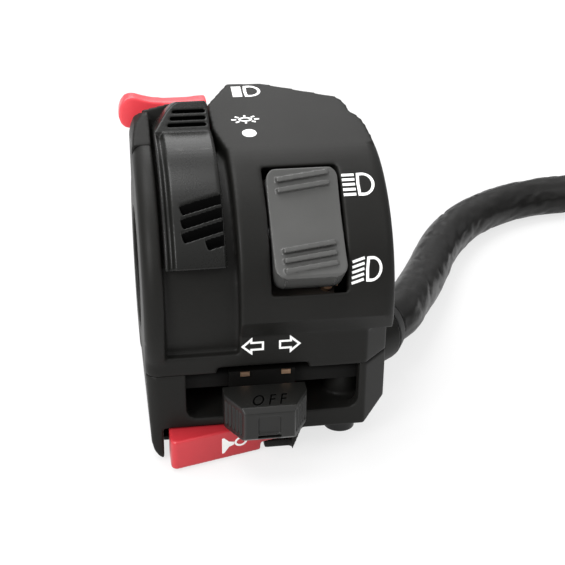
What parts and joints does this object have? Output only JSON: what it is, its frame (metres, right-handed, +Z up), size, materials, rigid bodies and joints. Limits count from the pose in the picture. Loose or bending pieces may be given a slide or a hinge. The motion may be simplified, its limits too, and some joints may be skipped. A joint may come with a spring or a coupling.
{
  "type": "handlebar switch cluster",
  "caption": "Left handlebar switch cluster: split clamp housing with sliding light lever, dip rocker, turn signal knob, hinged horn button and flash trigger, wired to a looped harness",
  "frame": {"origin": "on the handlebar's axis, in the plane between the main body's left and right thirds", "axes": "X along the handlebar towards its middle, -Y towards the rider, Z up"},
  "size_m": [0.2143, 0.1194, 0.0567],
  "materials": {
    "shell": "black moulded, fine texture",
    "lever": "black moulded, semi-matt",
    "grey": "dark grey moulded, fine texture",
    "red": "red moulded, semi-gloss",
    "white": "natural nylon",
    "board": "dark laminated contact plate",
    "contact": "stamped brass",
    "steel": "zinc-plated steel",
    "rubber": "black soft rubber",
    "sleeve": "black vinyl sleeve, semi-gloss",
    "wire": "insulated wires"
  },
  "bodies": {
    "housing": {"front_housing": "shell", "rear_housing": "shell", "clamp_screws": "steel", "lower_screw": "steel", "light_base": "board", "light_contacts": "contact", "dip_pins": "steel", "dip_base": "board", "dip_contacts": "contact", "turn_base": "lever", "turn_contacts": "contact", "horn_pin": "steel", "horn_spring": "steel", "horn_contacts": "contact", "pass_pin": "steel", "pass_spring": "steel", "pass_contacts": "contact", "cable_grommet": "rubber", "inner_wires": "wire", "harness_sleeve": "sleeve", "harness_coil": "sleeve", "coil_tie": "lever", "connector_boot": "rubber", "connector_body": "white", "connector_pins": "contact"},
    "light_lever": {"light_lever": "lever", "light_slider": "white", "light_wiper": "contact", "light_ball": "steel", "light_spring": "steel"},
    "dip_rocker": {"dip_rocker": "grey", "dip_wiper": "contact", "dip_plunger": "white", "dip_spring": "steel"},
    "turn_slider": {"turn_slider": "lever", "turn_leaf": "contact", "turn_wiper": "contact", "turn_ball": "steel", "turn_spring": "steel", "turn_push_spring": "steel"},
    "turn_knob": {"turn_knob": "lever"},
    "horn_button": {"horn_button": "red", "horn_bridge": "contact"},
    "pass_trigger": {"pass_trigger": "red", "pass_bridge": "contact"}
  },
  "joints": [
    {"name": "light_select", "type": "hinge", "parent": "housing", "child": "light_lever", "pos_m": [0, 0, 0], "axis": [1, 0, 0], "range_deg": [0, 30]},
    {"name": "dip_rock", "type": "hinge", "parent": "housing", "child": "dip_rocker", "pos_m": [0, -0.01473, 0.01201], "axis": [1, 0, 0], "range_deg": [0, 12]},
    {"name": "turn_select", "type": "slide", "parent": "housing", "child": "turn_slider", "axis": [1, 0, 0], "range_m": [-0.0038, 0.0038]},
    {"name": "turn_cancel", "type": "slide", "parent": "turn_slider", "child": "turn_knob", "axis": [0, 1, 0], "range_m": [0, 0.0016], "stiffness_N_per_m": 600, "springref_m": -0.002, "deforming": ["turn_push_spring"]},
    {"name": "horn_press", "type": "hinge", "parent": "housing", "child": "horn_button", "pos_m": [0.0002, -0.0192, -0.024], "axis": [0, 0, -1], "range_deg": [0, 8], "stiffness_Nm_per_rad": 0.2, "springref_deg": -8.59, "deforming": ["horn_spring"]},
    {"name": "pass_pull", "type": "hinge", "parent": "housing", "child": "pass_trigger", "pos_m": [0.0032, 0.0136, 0.0213], "axis": [0, 0, 1], "range_deg": [0, 5], "stiffness_Nm_per_rad": 0.3, "springref_deg": -6.88, "deforming": ["pass_spring"]}
  ]
}
